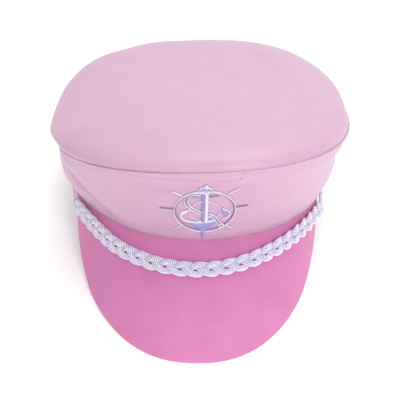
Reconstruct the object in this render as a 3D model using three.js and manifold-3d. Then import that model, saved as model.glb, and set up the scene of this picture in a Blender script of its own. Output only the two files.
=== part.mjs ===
// A soft captain's hat, resting on the front edge of its visor and the back of its head opening.
// Millimetres, +Z up, the front of the hat towards -Y and the wearer's left towards +X.
// Every piece is shaped in the hat's own frame, where the rim of the head opening lies at z = 0.
// One group at the end tips the hat back into the way that it rests on a table.
import * as THREE from "three";
import { mergeVertices } from "three/addons/utils/BufferGeometryUtils.js";
import Module from "manifold-3d";

const wasm = await Module();
wasm.setup();

// Head opening, measured outside the cloth
const HEAD_WIDTH = 184;
const HEAD_LENGTH = 200;

// Seam between the side panel and the top panel
const SEAM_WIDTH = 207.6;
const SEAM_LENGTH = 237.6;
const SEAM_FORWARD = 3.3;
const SEAM_TO_LEFT = 1.9;
const SEAM_FRONT_HEIGHT = 56.2;
const SEAM_BACK_HEIGHT = 69.9;
const SEAM_SIDE_DIP = 8.6;
const SEAM_LEFT_LIFT = 3.5;
const SEAM_WANDER = 3.4;
const SEAM_FRONT_SQUARENESS = 2.26;
const SEAM_BACK_SQUARENESS = 2.75;

// Side panel
const SIDE_WALL = 2;
const SIDE_FOLD_DEPTH = 3;

// Top panel, with a puffed edge and a slightly sunken middle
const TOP_WALL = 1.8;
const PUFF_WIDTH = 28;
const PUFF_RISE = 8.8;
const PUFF_ROUNDNESS = 2.6;
const TOP_SAG = 3.5;
const EDGE_BULGE_DEPTH = 2.4;

// Visor
const VISOR_REACH = 53.8;
const VISOR_DROP = 53.1;
const VISOR_THICKNESS = 3;
const VISOR_ARCH = 1.6;
const VISOR_TIP_ANGLE = THREE.MathUtils.degToRad(80);
const VISOR_ROUNDNESS = 1.09;
const VISOR_SQUARENESS = 0.89;
const VISOR_PINCH = 0.06;
const VISOR_FLAT_SPAN = 0.65;
const VISOR_TIP_LIFT = 1.26;
const VISOR_END = 0.955;

// Braid of three cords, lying over the visor
const CORD_WIDTH = 5;
const CORD_THICKNESS = 3;
const BRAID_WIDTH = 10;
const BRAID_WEAVE = 1;
const BRAID_REPEAT = 29;
const BRAID_FRONT_OFFSET = 20.4;
const BRAID_SIDE_OFFSET = 6.4;
const BRAID_BEND_ANGLE = 38;
const BRAID_VISOR_END = 0.84;
const BRAID_TAPER = 9;

// Thin cords from the braid's ends to loops round the side buttons that hold them
const LOOP_CORD = 2.4;
const LOOP_CORD_LENGTH = 46;
const BUTTON_DIAMETER = 10;
const BUTTON_DOME = 2.2;
const BUTTON_SHANK_DIAMETER = 3;
const BUTTON_ANGLE = THREE.MathUtils.degToRad(97);
const BUTTON_HEIGHT = 10;

// Embroidered anchor and ship's wheel on the front of the side panel
const WHEEL_RADIUS = 18.4;
const SPOKE_LENGTH = 8;
const THREAD_WIDTH = 1.3;
const EMBLEM_RELIEF = 1.2;
const EMBLEM_TO_LEFT = 4.2;
const EMBLEM_SHARE = 0.46;
const EMBLEM_CREST_SHARE = 0.65;
const RIM_RELIEF_SHARE = 0.7;
const SPOKE_RELIEF_SHARE = 0.6;

// How the hat rests, and the space that touching pieces keep
const REST_FLAT = 0.5;
const FIT_GAP = 0.3;

// Steps that the curved surfaces are made in
const RING_STEPS = 64;
const SIDE_STEPS = 7;
const SIDE_INNER_STEPS = 4;
const PUFF_STEPS = 5;
const PUFF_INNER_STEPS = 3;
const MIDDLE_STEPS = 2;
const VISOR_STEPS = 40;
const CORD_STEPS_A_REPEAT = 6;
const CORD_SIDES = 6;
const LOOP_STEPS = 12;
const BUTTON_STEPS = 12;
const BUTTON_DOME_STEPS = 3;
const BRAID_PLACES = 10;
const BRAID_END_PLACES = 7;
const LOOP_CORD_STEPS = 9;
const WHEEL_STEPS = 28;
const EMBLEM_AIM_STEPS = 8;

const FULL_TURN = 2 * Math.PI;
const { lerp, clamp, smoothstep } = THREE.MathUtils;

// Soft folds of the side panel: where each is, how far it spreads and how deep it is.
// Angles are from the front in degrees, heights are shares of the panel, depths of the fold depth.
const SIDE_FOLDS = [
  { angle: 0, spread: 400, height: 0.88, tall: 0.12, slant: 0, out: 0.5 },
  { angle: -98, spread: 32, height: 0.5, tall: 0.36, slant: 0, out: 2.3 },
  { angle: -66, spread: 9, height: 0.5, tall: 0.6, slant: 34, out: -0.55 },
  { angle: -50, spread: 12, height: 0.45, tall: 0.5, slant: 30, out: 0.3 },
  { angle: 85, spread: 30, height: 0.7, tall: 0.2, slant: 0, out: -0.4 },
  { angle: 92, spread: 34, height: 0.3, tall: 0.3, slant: 0, out: 1.7 },
  { angle: 150, spread: 16, height: 0.5, tall: 0.5, slant: 12, out: 0.5 },
  { angle: 178, spread: 14, height: 0.55, tall: 0.5, slant: -10, out: -0.5 },
  { angle: -150, spread: 18, height: 0.5, tall: 0.5, slant: -14, out: 0.6 },
];

// Where the seam wanders from its even ring, with depths as shares of its own wander
const SEAM_WANDERS = [
  { angle: -88, spread: 24, out: -1 },
  { angle: 90, spread: 20, out: 0.3 },
];

// Where the puffed edge of the top bulges over the seam or is dented, as shares of its own depth
const EDGE_BULGES = [
  { angle: -92, spread: 22, out: 1.6 },
  { angle: -118, spread: 8, out: -0.4 },
  { angle: -134, spread: 8, out: 0.6 },
  { angle: -148, spread: 7, out: -0.5 },
  { angle: -162, spread: 9, out: 0.6 },
  { angle: 158, spread: 10, out: 0.6 },
  { angle: 130, spread: 10, out: -0.4 },
  { angle: 100, spread: 16, out: 0.7 },
  { angle: -35, spread: 12, out: 0.25 },
  { angle: 20, spread: 14, out: -0.25 },
];

// The emblem's embroidered shapes: points along each, from the middle of the wheel to the left and
// up, and the width there, as shares of the wheel's radius. Relief is a share of the emblem's.
const EMBLEM_SHAPES = [
  {
    name: "arms",
    relief: 0.9,
    steps: 12,
    route: [
      { left: -0.62, up: 0.12, width: 0.05 },
      { left: -0.76, up: -0.14, width: 0.26 },
      { left: -0.52, up: -0.47, width: 0.15 },
      { left: 0, up: -0.62, width: 0.16 },
      { left: 0.52, up: -0.47, width: 0.15 },
      { left: 0.76, up: -0.14, width: 0.26 },
      { left: 0.62, up: 0.12, width: 0.05 },
    ],
  },
  {
    name: "point",
    relief: 0.85,
    steps: 4,
    route: [
      { left: -0.03, up: -0.58, width: 0.76 },
      { left: -0.04, up: -0.78, width: 0.5 },
      { left: -0.06, up: -1.02, width: 0.24 },
      { left: -0.08, up: -1.34, width: 0.08 },
    ],
  },
  {
    name: "shaft",
    relief: 1,
    steps: 4,
    route: [
      { left: 0, up: -0.6, width: 0.22 },
      { left: 0, up: 0.2, width: 0.2 },
      { left: 0, up: 1, width: 0.22 },
    ],
  },
  {
    name: "collar",
    relief: 0.95,
    steps: 3,
    route: [
      { left: 0.01, up: 0.93, width: 0.24 },
      { left: 0.01, up: 1.03, width: 0.42 },
      { left: 0.01, up: 1.17, width: 0.2 },
    ],
  },
  {
    name: "ball",
    relief: 0.9,
    steps: 3,
    route: [
      { left: 0.03, up: 1.14, width: 0.1 },
      { left: 0.03, up: 1.23, width: 0.17 },
      { left: 0.03, up: 1.32, width: 0.06 },
    ],
  },
  {
    name: "stock",
    relief: 0.6,
    steps: 4,
    route: [
      { left: -0.42, up: 0.72, width: 0.1 },
      { left: 0, up: 0.74, width: 0.14 },
      { left: 0.42, up: 0.72, width: 0.1 },
    ],
  },
  {
    name: "rope",
    relief: 0.8,
    steps: 12,
    route: [
      { left: -0.2, up: 1, width: 0.12 },
      { left: -0.48, up: 0.86, width: 0.14 },
      { left: -0.58, up: 0.58, width: 0.14 },
      { left: -0.42, up: 0.24, width: 0.14 },
      { left: -0.12, up: -0.04, width: 0.14 },
      { left: 0.14, up: -0.12, width: 0.14 },
      { left: 0.36, up: -0.42, width: 0.14 },
      { left: 0.56, up: -0.8, width: 0.12 },
    ],
  },
  {
    name: "rope_turn",
    relief: 0.6,
    steps: 6,
    route: [
      { left: 0.08, up: 0.6, width: 0.07 },
      { left: 0.38, up: 0.5, width: 0.07 },
      { left: 0.52, up: 0.2, width: 0.07 },
      { left: 0.44, up: -0.16, width: 0.07 },
      { left: 0.2, up: -0.3, width: 0.07 },
    ],
  },
];

// Colour and finish of each kind of piece
const finish = (color, roughness, metalness) =>
  new THREE.MeshStandardMaterial({ color, roughness, metalness });
const paleCloth = finish(0xddb4ce, 0.6, 0);
const pinkCloth = finish(0xdf8cbc, 0.75, 0);
const whiteCord = finish(0xdcd9ec, 0.65, 0);
const satinThread = finish(0xcfcbe6, 0.4, 0);
const darkMetal = finish(0x55525a, 0.4, 0.8);

// How far one angle lies from another, the shorter way round, in degrees
function degreesApart(angle, other) {
  return ((((angle - other) % 360) + 540) % 360) - 180;
}

function bump(distance, spread) {
  return Math.exp(-((distance / spread) ** 2));
}

// How far a rounded ring reaches from its centre, at an angle from the front
function ringReach(width, length, squareness, angle) {
  const across = (Math.abs(Math.sin(angle)) / (width / 2)) ** squareness;
  const along = (Math.abs(Math.cos(angle)) / (length / 2)) ** squareness;
  return (across + along) ** (-1 / squareness);
}

function headPoint(angle, inset = 0) {
  const reach = ringReach(HEAD_WIDTH, HEAD_LENGTH, 2, angle) - inset;
  return new THREE.Vector3(reach * Math.sin(angle), -reach * Math.cos(angle), 0);
}

// How far a table of bulges pushes an edge out at an angle from the front
function wander(bulges, depth, angle) {
  const degrees = THREE.MathUtils.radToDeg(angle);
  const shares = bulges.map((row) => row.out * bump(degreesApart(degrees, row.angle), row.spread));
  return depth * shares.reduce((sum, share) => sum + share);
}

function seamReach(angle) {
  const towardsBack = (1 - Math.cos(angle)) / 2;
  const squareness = lerp(SEAM_FRONT_SQUARENESS, SEAM_BACK_SQUARENESS, towardsBack);
  return ringReach(SEAM_WIDTH, SEAM_LENGTH, squareness, angle) + wander(SEAM_WANDERS, SEAM_WANDER, angle);
}

function seamHeight(angle) {
  const towardsBack = (1 - Math.cos(angle)) / 2;
  const level = lerp(SEAM_FRONT_HEIGHT, SEAM_BACK_HEIGHT, towardsBack);
  return level - SEAM_SIDE_DIP * Math.sin(angle) ** 2 + SEAM_LEFT_LIFT * Math.sin(angle);
}

function seamPoint(angle, inset = 0) {
  const reach = seamReach(angle) - inset;
  return new THREE.Vector3(
    SEAM_TO_LEFT + reach * Math.sin(angle),
    -SEAM_FORWARD - reach * Math.cos(angle),
    seamHeight(angle),
  );
}

// How far the side panel's folds push it out, at a share of its height
function foldDepth(angle, share) {
  const degrees = THREE.MathUtils.radToDeg(angle);
  const fixedAtBothEdges = 1 - (2 * share - 1) ** 6;
  let out = 0;
  for (const fold of SIDE_FOLDS) {
    const across = degreesApart(degrees, fold.angle - fold.slant * (share - fold.height));
    out += fold.out * bump(across, fold.spread) * bump(share - fold.height, fold.tall);
  }
  return SIDE_FOLD_DEPTH * fixedAtBothEdges * out;
}

// A point on the side panel, from its bottom edge at share 0 to the seam at share 1
function sidePoint(angle, share, inset = 0) {
  const point = headPoint(angle, inset).lerp(seamPoint(angle, inset), share);
  const out = foldDepth(angle, share);
  point.x += out * Math.sin(angle);
  point.y -= out * Math.cos(angle);
  return point;
}

// The direction that a surface faces, from two nearby points each way
function facing(surface, u, v) {
  const step = 0.002;
  const along = surface(u + step, v).sub(surface(u - step, v));
  const across = surface(u, v + step).sub(surface(u, v - step));
  return along.cross(across).normalize();
}

function sideFacing(angle, share) {
  return facing((a, s) => sidePoint(a, s), angle, share);
}

// A closed skin over rows of points, where each row is a closed ring. The rows either close on
// themselves or are capped at both ends.
function skin(rows, closed = false) {
  const around = rows[0].length;
  const corners = rows.flat();
  const faces = [];
  const spans = closed ? rows.length : rows.length - 1;
  for (let row = 0; row < spans; row++) {
    for (let column = 0; column < around; column++) {
      const next = (column + 1) % around;
      const low = row * around;
      const high = ((row + 1) % rows.length) * around;
      faces.push(low + column, low + next, high + next);
      faces.push(low + column, high + next, high + column);
    }
  }
  if (!closed) {
    for (const row of [0, rows.length - 1]) {
      const middle = new THREE.Vector3();
      rows[row].forEach((corner) => middle.addScaledVector(corner, 1 / around));
      corners.push(middle);
      for (let column = 0; column < around; column++) {
        const pair = [row * around + column, row * around + ((column + 1) % around)];
        faces.push(corners.length - 1, ...(row === 0 ? pair.reverse() : pair));
      }
    }
  }
  return turnedOut(corners, faces);
}

// The geometry of a closed skin with its faces pointing out
function turnedOut(corners, faces) {
  let volume = 0;
  for (let face = 0; face < faces.length; face += 3) {
    const [a, b, c] = faces.slice(face, face + 3).map((corner) => corners[corner]);
    volume += a.dot(new THREE.Vector3().crossVectors(b, c)) / 6;
  }
  if (volume < 0) faces.reverse();
  const geometry = new THREE.BufferGeometry().setFromPoints(corners);
  geometry.setIndex(faces);
  return geometry;
}

function toSolid(geometry) {
  const bare = geometry.clone();
  bare.deleteAttribute("normal");
  bare.deleteAttribute("uv");
  const merged = mergeVertices(bare, 1e-4);
  return new wasm.Manifold(
    new wasm.Mesh({
      numProp: 3,
      vertProperties: new Float32Array(merged.attributes.position.array),
      triVerts: new Uint32Array(merged.index.array),
    }),
  );
}

function toGeometry(solid) {
  const mesh = solid.getMesh();
  const geometry = new THREE.BufferGeometry();
  geometry.setAttribute("position", new THREE.BufferAttribute(mesh.vertProperties, 3));
  geometry.setIndex(new THREE.BufferAttribute(mesh.triVerts, 1));
  return geometry;
}

function fuse(geometries) {
  return toGeometry(geometries.map(toSolid).reduce((whole, piece) => whole.add(piece)));
}

function piece(name, geometry, material) {
  geometry.computeVertexNormals();
  const mesh = new THREE.Mesh(geometry, material);
  mesh.name = name;
  return mesh;
}

// Even shares from 0 to 1
function sharesIn(steps) {
  return Array.from({ length: steps + 1 }, (_, step) => step / steps);
}

const ringAngles = sharesIn(RING_STEPS).slice(1).map((share) => share * FULL_TURN);

// How the hat rests: the table meets the back of the rim and the visor's lower front edge
const visorSlope = Math.atan(VISOR_DROP / VISOR_REACH);
const lowestDrop = VISOR_DROP + VISOR_THICKNESS * Math.cos(visorSlope);
const lowestReach = VISOR_REACH - VISOR_THICKNESS * Math.sin(visorSlope);
const restTilt = Math.atan(lowestDrop / (HEAD_LENGTH + lowestReach));
const tippedToRest = new THREE.Matrix4().makeRotationX(-restTilt);
tippedToRest.setPosition(0, 0, (HEAD_LENGTH / 2) * Math.sin(restTilt) - REST_FLAT);

// Height of the table under the hat, in the hat's frame
function tableHeight(y) {
  return -(HEAD_LENGTH / 2 - y) * Math.tan(restTilt);
}

// Whatever would sink into the table is pressed flat
function flattenedOnTable(geometry) {
  const deep = HEAD_LENGTH;
  const table = new THREE.BoxGeometry(SEAM_WIDTH * 3, SEAM_LENGTH * 3, deep);
  table.translate(0, 0, -deep / 2);
  table.applyMatrix4(tippedToRest.clone().invert());
  return toGeometry(toSolid(geometry).subtract(toSolid(table)));
}

function crownSide() {
  const outside = sharesIn(SIDE_STEPS).map((share) => ringAngles.map((angle) => sidePoint(angle, share)));
  const inside = sharesIn(SIDE_INNER_STEPS).map((share) =>
    ringAngles.map((angle) => sidePoint(angle, share, SIDE_WALL)),
  );
  return flattenedOnTable(skin([...outside, ...inside.reverse()], true));
}

// A point on the top panel, from the seam inwards by an inset and up by a rise
function topPoint(angle, inset, rise) {
  const left = 1 - inset / seamReach(angle);
  const point = seamPoint(angle, inset);
  const middleHeight = (SEAM_FRONT_HEIGHT + SEAM_BACK_HEIGHT) / 2;
  point.z = lerp(middleHeight, seamHeight(angle), left ** 2) + rise + FIT_GAP;
  return point;
}

// Rings of the top panel from its rim to its middle, on the outside or, by the wall, inside
function topRings(wall, puffSteps) {
  const rings = [];
  for (const share of sharesIn(puffSteps)) {
    const turn = (share * Math.PI) / 2;
    const inwards = 1 - Math.cos(turn) ** (2 / PUFF_ROUNDNESS);
    const upwards = Math.sin(turn) ** (2 / PUFF_ROUNDNESS);
    const inset = wall + (PUFF_WIDTH - wall) * inwards;
    const rise = (PUFF_RISE - wall) * upwards;
    const bulge = EDGE_BULGE_DEPTH * Math.sin(2 * turn);
    rings.push(
      ringAngles.map((angle) => topPoint(angle, inset - wander(EDGE_BULGES, bulge, angle), rise)),
    );
  }
  for (let step = MIDDLE_STEPS - 1; step >= 0; step--) {
    const share = (step + 0.5) / MIDDLE_STEPS;
    const rise = PUFF_RISE - wall - TOP_SAG * (1 - share ** 2);
    rings.push(
      ringAngles.map((angle) =>
        topPoint(angle, seamReach(angle) - share * (seamReach(angle) - PUFF_WIDTH), rise),
      ),
    );
  }
  return rings;
}

function crownTop() {
  return skin([...topRings(0, PUFF_STEPS).reverse(), ...topRings(TOP_WALL, PUFF_INNER_STEPS)]);
}

// The visor's upper outer edge, where turn runs from -1 at the right tip to 1 at the left tip
function visorEdge(turn) {
  const sweep = (turn * Math.PI) / 2;
  const tip = headPoint(VISOR_TIP_ANGLE);
  const forward = Math.abs(Math.cos(sweep));
  const sideways = Math.abs(Math.sin(sweep));
  const front = HEAD_LENGTH / 2 + VISOR_REACH + tip.y;
  const y = tip.y - front * forward ** VISOR_ROUNDNESS;
  const lifted = clamp(1 - forward / VISOR_FLAT_SPAN, 0, 1) ** VISOR_TIP_LIFT;
  const boardHeight = (VISOR_THICKNESS * Math.cos(visorSlope - restTilt)) / Math.cos(restTilt);
  const pinch = 1 - VISOR_PINCH * Math.sqrt(forward) * sideways;
  const x = Math.sign(turn) * tip.x * sideways ** VISOR_SQUARENESS * pinch;
  return new THREE.Vector3(x, y, (tableHeight(y) + boardHeight) * (1 - lifted));
}

// The visor's upper face, from the head opening at share 0 to the outer edge at share 1
function visorTop(turn, share) {
  const root = headPoint(turn * VISOR_TIP_ANGLE, FIT_GAP);
  root.z = -FIT_GAP;
  const edge = visorEdge(turn);
  const arch = (VISOR_ARCH * root.distanceTo(edge)) / Math.hypot(VISOR_REACH, VISOR_DROP);
  const point = root.lerp(edge, share);
  point.z += arch * 4 * share * (1 - share);
  return point;
}

// A point over or under the visor's upper face, by a lift along the way it faces
function visorPoint(turn, share, lift = 0) {
  const normal = facing(visorTop, turn, share).negate();
  return visorTop(turn, share).addScaledVector(normal, lift);
}

function visor() {
  const shares = [0, 0.2, 0.4, 0.6, 0.8, 1];
  const rows = [];
  for (let step = 0; step <= VISOR_STEPS; step++) {
    const turn = lerp(-VISOR_END, VISOR_END, step / VISOR_STEPS);
    const upper = shares.map((share) => visorPoint(turn, share));
    const lower = shares.map((share) => visorPoint(turn, share, -VISOR_THICKNESS));
    rows.push([...upper, ...lower.reverse()]);
  }
  return flattenedOnTable(skin(rows));
}

// A cord along a list of places, each with its middle, the way up and its width and thickness
function cord(places) {
  const rows = places.map(({ middle, up, width, thickness }, step) => {
    const before = places[Math.max(step - 1, 0)].middle;
    const after = places[Math.min(step + 1, places.length - 1)].middle;
    const along = after.clone().sub(before).normalize();
    const aside = new THREE.Vector3().crossVectors(along, up).normalize();
    const over = new THREE.Vector3().crossVectors(aside, along);
    return Array.from({ length: CORD_SIDES }, (_, side) => {
      const turn = ((side + 0.5) / CORD_SIDES) * FULL_TURN;
      const corner = middle.clone().addScaledVector(aside, (Math.cos(turn) * width) / 2);
      return corner.addScaledVector(over, (Math.sin(turn) * thickness) / 2);
    });
  });
  return skin(rows);
}

// The share of the side panel's height at which the buttons sit
const buttonShare = BUTTON_HEIGHT / seamHeight(BUTTON_ANGLE);
const loopLift = FIT_GAP + LOOP_CORD / 2;
const braidLift = FIT_GAP + BRAID_WEAVE + CORD_THICKNESS / 2;

// How far the side panel bulges beyond its own slope within half the braid's width of a point
function bulgeBeside(angle, share) {
  const half = BRAID_WIDTH / 2 / seamHeight(angle);
  const up = sideFacing(angle, share);
  const beside = [Math.max(share - half, 0), share + half].map((other) =>
    sidePoint(angle, other).sub(sidePoint(angle, share)).dot(up),
  );
  return Math.max(0, ...beside);
}

// Where the braid's middle line goes on one side, from the front to the button
function braidPlaces(side) {
  const places = [];
  for (const share of sharesIn(BRAID_PLACES)) {
    const turn = side * BRAID_VISOR_END * share;
    const degrees = THREE.MathUtils.radToDeg(turn * VISOR_TIP_ANGLE);
    const slack = bump(degrees, BRAID_BEND_ANGLE);
    const offset = lerp(BRAID_SIDE_OFFSET, BRAID_FRONT_OFFSET, slack);
    const down = offset / headPoint(turn * VISOR_TIP_ANGLE).distanceTo(visorEdge(turn));
    const up = facing(visorTop, turn, down).negate();
    places.push({ point: visorPoint(turn, down, braidLift), up });
  }
  const leaves = side * BRAID_VISOR_END * VISOR_TIP_ANGLE;
  for (const share of sharesIn(BRAID_END_PLACES).slice(1)) {
    const angle = lerp(leaves, side * BUTTON_ANGLE, share);
    const height = buttonShare * share;
    const up = sideFacing(angle, height);
    const lift = lerp(braidLift + bulgeBeside(angle, height), loopLift, share);
    places.push({ point: sidePoint(angle, height).addScaledVector(up, lift), up });
  }
  return places;
}

function braid() {
  const places = [...braidPlaces(-1).slice(1).reverse(), ...braidPlaces(1)];
  const route = new THREE.CatmullRomCurve3(places.map(({ point }) => point));
  const rail = new THREE.CatmullRomCurve3(places.map(({ point, up }) => point.clone().add(up)));
  const length = route.getLength();
  const at = (distance) => {
    const place = route.getUtoTmapping(distance / length);
    const middle = route.getPoint(place);
    const up = rail.getPoint(place).sub(middle).normalize();
    const aside = new THREE.Vector3().crossVectors(route.getTangent(place), up).normalize();
    return { middle, up, aside };
  };
  const loopRadius = (BUTTON_SHANK_DIAMETER + LOOP_CORD) / 2 + FIT_GAP;
  const repeats = Math.round((length - 2 * LOOP_CORD_LENGTH) / BRAID_REPEAT);
  const braided = sharesIn(repeats * CORD_STEPS_A_REPEAT);
  const swing = (BRAID_WIDTH - CORD_WIDTH) / 2;
  const cords = [0, 1, 2].map((number) =>
    cord(
      braided.map((share) => {
        const distance = lerp(LOOP_CORD_LENGTH, length - LOOP_CORD_LENGTH, share);
        const { middle, up, aside } = at(distance);
        const fromEnd = Math.min(distance, length - distance) - LOOP_CORD_LENGTH;
        const spread = smoothstep(fromEnd, 0, BRAID_TAPER);
        const turn = (share * repeats + number / 3) * FULL_TURN;
        middle.addScaledVector(aside, swing * spread * Math.sin(turn));
        middle.addScaledVector(up, BRAID_WEAVE * spread * Math.sin(2 * turn));
        const width = lerp(LOOP_CORD, CORD_WIDTH, spread);
        return { middle, up, width, thickness: lerp(LOOP_CORD, CORD_THICKNESS, spread) };
      }),
    ),
  );
  const thin = [0, length].map((end) =>
    cord(
      sharesIn(LOOP_CORD_STEPS).map((share) => {
        const fromButton = lerp(loopRadius, LOOP_CORD_LENGTH + LOOP_CORD, share);
        const { middle, up } = at(Math.abs(end - fromButton));
        return { middle, up, width: LOOP_CORD, thickness: LOOP_CORD };
      }),
    ),
  );
  return fuse([...cords, ...thin, endLoop(-1, loopRadius), endLoop(1, loopRadius)]);
}

// The way a button's parts stand on the side panel: local Z is away from the cloth
function buttonPlace(side) {
  const angle = side * BUTTON_ANGLE;
  const up = sideFacing(angle, buttonShare);
  const turned = new THREE.Quaternion().setFromUnitVectors(new THREE.Vector3(0, 0, 1), up);
  return new THREE.Matrix4().compose(sidePoint(angle, buttonShare), turned, new THREE.Vector3(1, 1, 1));
}

function endLoop(side, radius) {
  const loop = new THREE.TorusGeometry(radius, LOOP_CORD / 2, CORD_SIDES, LOOP_STEPS);
  loop.translate(0, 0, loopLift);
  return loop.applyMatrix4(buttonPlace(side));
}

function button(side) {
  const shank = BUTTON_SHANK_DIAMETER / 2;
  const rim = BUTTON_DIAMETER / 2;
  const underside = loopLift + LOOP_CORD / 2 + FIT_GAP;
  const profile = [new THREE.Vector2(0, FIT_GAP), new THREE.Vector2(shank, FIT_GAP)];
  profile.push(new THREE.Vector2(shank, underside));
  for (const share of sharesIn(BUTTON_DOME_STEPS)) {
    const turn = (share * Math.PI) / 2;
    profile.push(new THREE.Vector2(rim * Math.cos(turn), underside + BUTTON_DOME * Math.sin(turn)));
  }
  profile[profile.length - 1].x = 0;
  const turned = new THREE.LatheGeometry(profile, BUTTON_STEPS).rotateX(Math.PI / 2);
  return turned.applyMatrix4(buttonPlace(side));
}

// A point of the emblem, to the left and up from the middle of the wheel, off the side panel
const frontSlant = sidePoint(0, 0).distanceTo(sidePoint(0, 1));
function emblemPoint(left, up, lift) {
  const share = EMBLEM_SHARE + up / frontSlant;
  const aim = EMBLEM_TO_LEFT + left;
  let angle = 0;
  for (let step = 0; step < EMBLEM_AIM_STEPS; step++) {
    angle += (aim - sidePoint(angle, share).x) / (SEAM_LENGTH / 2);
  }
  return sidePoint(angle, share).addScaledVector(sideFacing(angle, share), lift);
}

// A raised line of embroidery through points that hold left, up and, as z, the width there
function stitched(points, relief, closed = false) {
  const widest = Math.max(...points.map((point) => point.z));
  const columns = sharesIn(Math.ceil(widest / (WHEEL_RADIUS / 4)));
  const rows = points.map((point, step) => {
    const count = points.length;
    const before = closed ? points[(step + count - 1) % count] : points[Math.max(step - 1, 0)];
    const after = closed ? points[(step + 1) % count] : points[Math.min(step + 1, count - 1)];
    const across = new THREE.Vector2(before.y - after.y, after.x - before.x).normalize();
    const at = (share, narrowing, lift) => {
      const aside = (share - 0.5) * point.z * narrowing;
      return emblemPoint(point.x + across.x * aside, point.y + across.y * aside, lift);
    };
    const base = columns.map((share) => at(share, 1, FIT_GAP));
    const crest = columns.map((share) => at(share, EMBLEM_CREST_SHARE, FIT_GAP + relief));
    return [...base, ...crest.reverse()];
  });
  return skin(rows, closed);
}

function wheel() {
  const point = (angle, radius) =>
    new THREE.Vector3(radius * Math.sin(angle), radius * Math.cos(angle), THREAD_WIDTH);
  const rim = sharesIn(WHEEL_STEPS).slice(1).map((share) => point(share * FULL_TURN, WHEEL_RADIUS));
  const spokes = [1, 2, 3, 5, 6, 7].map((eighth) => {
    const angle = (eighth / 8) * FULL_TURN;
    const reach = sharesIn(2).map((share) => point(angle, WHEEL_RADIUS + SPOKE_LENGTH * share));
    return stitched(reach, EMBLEM_RELIEF * SPOKE_RELIEF_SHARE);
  });
  return [stitched(rim, EMBLEM_RELIEF * RIM_RELIEF_SHARE, true), ...spokes];
}

function anchorEmblem() {
  const shapes = EMBLEM_SHAPES.map(({ relief, steps, route }) => {
    const places = route.map(({ left, up, width }) => new THREE.Vector3(left, up, width));
    const points = new THREE.CatmullRomCurve3(places).getPoints(steps);
    points.forEach((point) => point.multiplyScalar(WHEEL_RADIUS));
    return stitched(points, EMBLEM_RELIEF * relief);
  });
  return fuse([...wheel(), ...shapes]);
}

const hat = new THREE.Group();
hat.add(piece("crown_side", crownSide(), paleCloth));
hat.add(piece("crown_top", crownTop(), paleCloth));
hat.add(piece("visor", visor(), pinkCloth));
hat.add(piece("braid", braid(), whiteCord));
hat.add(piece("anchor_emblem", anchorEmblem(), satinThread));
hat.add(piece("button_left", button(1), darkMetal));
hat.add(piece("button_right", button(-1), darkMetal));

// The hat at rest, with the origin under the middle of its box
hat.applyMatrix4(tippedToRest);
const captainHat = new THREE.Group();
captainHat.add(hat);
const box = new THREE.Box3().setFromObject(captainHat, true);
const middle = box.getCenter(new THREE.Vector3());
hat.position.add(new THREE.Vector3(-middle.x, -middle.y, -box.min.z));

export default captainHat;
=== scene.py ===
import bisect
import math

import bmesh
import bpy
from mathutils import Matrix, Quaternion, Vector, noise


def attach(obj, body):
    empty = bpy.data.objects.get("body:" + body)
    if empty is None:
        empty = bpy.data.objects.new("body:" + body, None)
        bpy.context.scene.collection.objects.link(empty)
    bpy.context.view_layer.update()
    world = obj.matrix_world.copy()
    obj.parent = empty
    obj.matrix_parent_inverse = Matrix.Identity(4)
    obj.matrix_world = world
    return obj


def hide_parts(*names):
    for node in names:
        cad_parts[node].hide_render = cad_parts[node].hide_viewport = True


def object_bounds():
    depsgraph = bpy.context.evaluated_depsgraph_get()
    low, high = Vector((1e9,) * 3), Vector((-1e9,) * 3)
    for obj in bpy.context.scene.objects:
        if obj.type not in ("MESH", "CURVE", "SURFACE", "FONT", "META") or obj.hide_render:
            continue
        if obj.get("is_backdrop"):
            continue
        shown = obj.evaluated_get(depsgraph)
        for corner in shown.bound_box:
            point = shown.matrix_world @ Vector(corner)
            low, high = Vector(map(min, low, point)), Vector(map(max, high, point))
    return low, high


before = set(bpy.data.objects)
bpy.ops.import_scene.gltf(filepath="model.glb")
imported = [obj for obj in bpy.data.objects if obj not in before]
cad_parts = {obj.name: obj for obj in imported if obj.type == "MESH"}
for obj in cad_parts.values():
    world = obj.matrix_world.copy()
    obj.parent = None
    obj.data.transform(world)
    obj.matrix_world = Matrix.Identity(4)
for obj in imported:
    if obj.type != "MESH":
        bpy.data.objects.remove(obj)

cad_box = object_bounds()

# Sizes of the hat, in metres. In its own frame the rim of the head opening lies at height 0, the
# front points towards -Y and the wearer's left towards +X.
HEAD_WIDTH = 0.184
HEAD_LENGTH = 0.200
HEM_TUCK = 0.0042
HEM_TUCK_ANGLE = -46
HEM_TUCK_SPREAD = 22

SEAM_WIDTH = 0.2066
SEAM_LENGTH = 0.2376
SEAM_FORWARD = 0.0033
SEAM_TO_LEFT = 0.0004
SEAM_FRONT_HEIGHT = 0.0562
SEAM_BACK_HEIGHT = 0.0699
SEAM_SIDE_DIP = 0.0086
SEAM_LEFT_LIFT = 0.0035
SEAM_WANDER = 0.0034
SEAM_FRONT_SQUARENESS = 2.26
SEAM_BACK_SQUARENESS = 2.75

SIDE_WALL = 0.002
SIDE_FOLD_DEPTH = 0.003

TOP_WALL = 0.0018
PUFF_WIDTH = 0.028
PUFF_RISE = 0.0088
PUFF_ROUNDNESS = 2.6
TOP_SAG = 0.0035
EDGE_BULGE_DEPTH = 0.0024

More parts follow.
